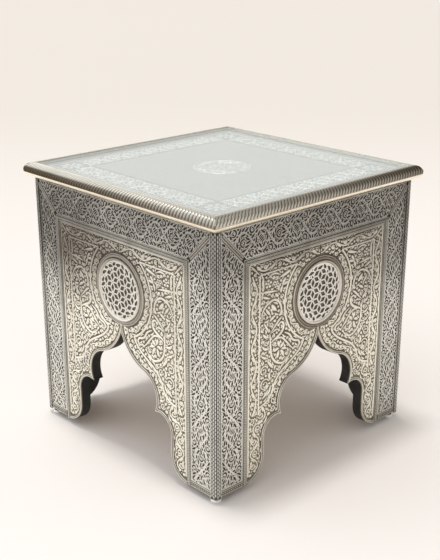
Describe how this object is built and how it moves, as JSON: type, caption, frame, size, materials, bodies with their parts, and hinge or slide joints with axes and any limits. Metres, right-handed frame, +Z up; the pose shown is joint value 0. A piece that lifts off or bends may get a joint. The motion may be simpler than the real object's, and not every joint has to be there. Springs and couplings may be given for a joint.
{
  "type": "side table",
  "caption": "Square side table with a cusped ogee arch on each side, a wooden carcass clad in embossed white metal, a ribbed half-round rim and a glass-covered top.",
  "frame": {"origin": "on the floor, at the middle of the table", "axes": "+Z up, the front side faces -Y and the right side +X"},
  "size_m": [0.5, 0.5, 0.489],
  "materials": {
    "board_wood": "black stain, satin",
    "dowel_wood": "bare hardwood",
    "sheet_metal": "embossed white metal sheet, oxidised in the recesses",
    "moulding_metal": "chased white metal strip, worn bright on the high parts",
    "pane_glass": "clear float glass",
    "glide_steel": "plated steel",
    "washer_rubber": "black rubber",
    "screw_steel": "bright steel"
  },
  "bodies": {
    "root": {"arch_trim_back": "moulding_metal", "arch_trim_front": "moulding_metal", "arch_trim_left": "moulding_metal", "arch_trim_right": "moulding_metal", "cleat_screws": "screw_steel", "corner_bead_back_left": "moulding_metal", "corner_bead_back_right": "moulding_metal", "corner_bead_front_left": "moulding_metal", "corner_bead_front_right": "moulding_metal", "corner_post_back_left": "board_wood", "corner_post_back_right": "board_wood", "corner_post_front_left": "board_wood", "corner_post_front_right": "board_wood", "dowels": "dowel_wood", "glass_pane": "pane_glass", "glide_feet": "glide_steel", "glide_pads": "washer_rubber", "leg_shoes": "moulding_metal", "medallion_back": "moulding_metal", "medallion_front": "moulding_metal", "medallion_left": "moulding_metal", "medallion_right": "moulding_metal", "mitre_strips": "moulding_metal", "panel_bead_back": "moulding_metal", "panel_bead_front": "moulding_metal", "panel_bead_left": "moulding_metal", "panel_bead_right": "moulding_metal", "panel_sheet_back": "sheet_metal", "panel_sheet_front": "sheet_metal", "panel_sheet_left": "sheet_metal", "panel_sheet_right": "sheet_metal", "rail_sheet_back": "sheet_metal", "rail_sheet_front": "sheet_metal", "rail_sheet_left": "sheet_metal", "rail_sheet_right": "sheet_metal", "rim_cladding_back": "moulding_metal", "rim_cladding_front": "moulding_metal", "rim_cladding_left": "moulding_metal", "rim_cladding_right": "moulding_metal", "rim_moulding_back": "board_wood", "rim_moulding_front": "board_wood", "rim_moulding_left": "board_wood", "rim_moulding_right": "board_wood", "sheet_pins": "screw_steel", "side_board_back": "board_wood", "side_board_front": "board_wood", "side_board_left": "board_wood", "side_board_right": "board_wood", "stile_sheet_back_left": "sheet_metal", "stile_sheet_back_right": "sheet_metal", "stile_sheet_front_left": "sheet_metal", "stile_sheet_front_right": "sheet_metal", "stile_sheet_left_left": "sheet_metal", "stile_sheet_left_right": "sheet_metal", "stile_sheet_right_left": "sheet_metal", "stile_sheet_right_right": "sheet_metal", "top_board": "board_wood", "top_cleats": "board_wood", "top_sheet": "sheet_metal"}
  },
  "joints": []
}
